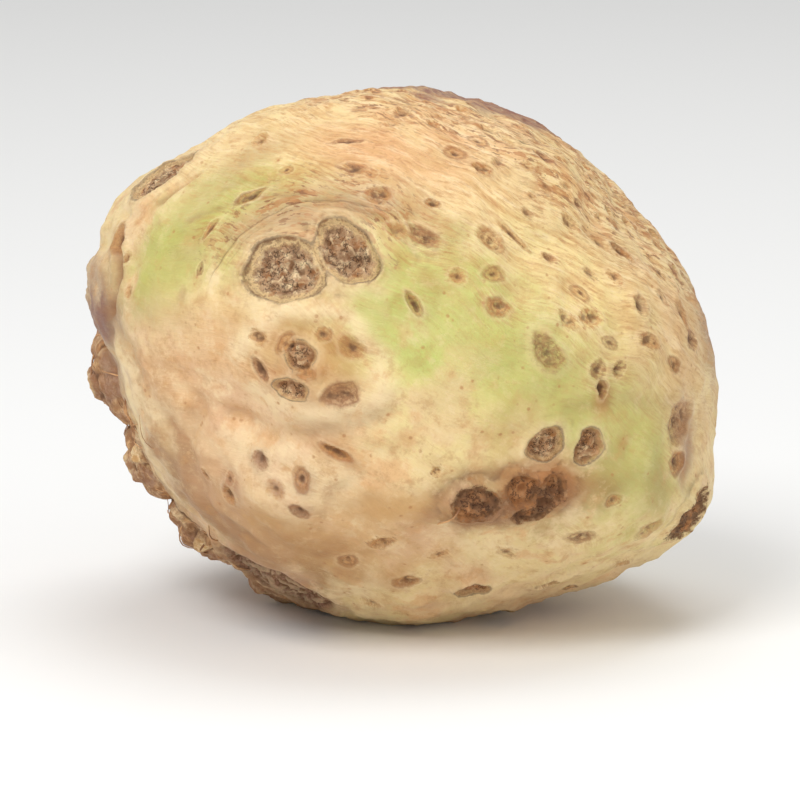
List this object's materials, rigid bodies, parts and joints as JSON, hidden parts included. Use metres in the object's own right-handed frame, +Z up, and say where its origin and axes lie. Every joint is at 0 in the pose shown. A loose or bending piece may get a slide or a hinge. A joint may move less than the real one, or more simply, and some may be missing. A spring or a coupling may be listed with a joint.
{
  "type": "celeriac root",
  "caption": "Trimmed celeriac root, a lopsided ball with corky eyes and leaf scar dots, a sunken crown and a knobbly root end, lying tilted on a small flat spot",
  "frame": {"origin": "bottom centre of the bounding box, on the surface that the root rests on", "axes": "+Z up, +X to the right of a viewer who looks along +Y, which is the picture's side of the root. The crown is up, to the right and back, and the root end is down, to the left and back"},
  "size_m": [0.1245, 0.114, 0.1051],
  "materials": {
    "skin": "matte cream plant skin with a green flush, corky brown marks and a fibrous crown"
  },
  "bodies": {
    "root": {"celeriac_root": "skin"}
  },
  "joints": []
}
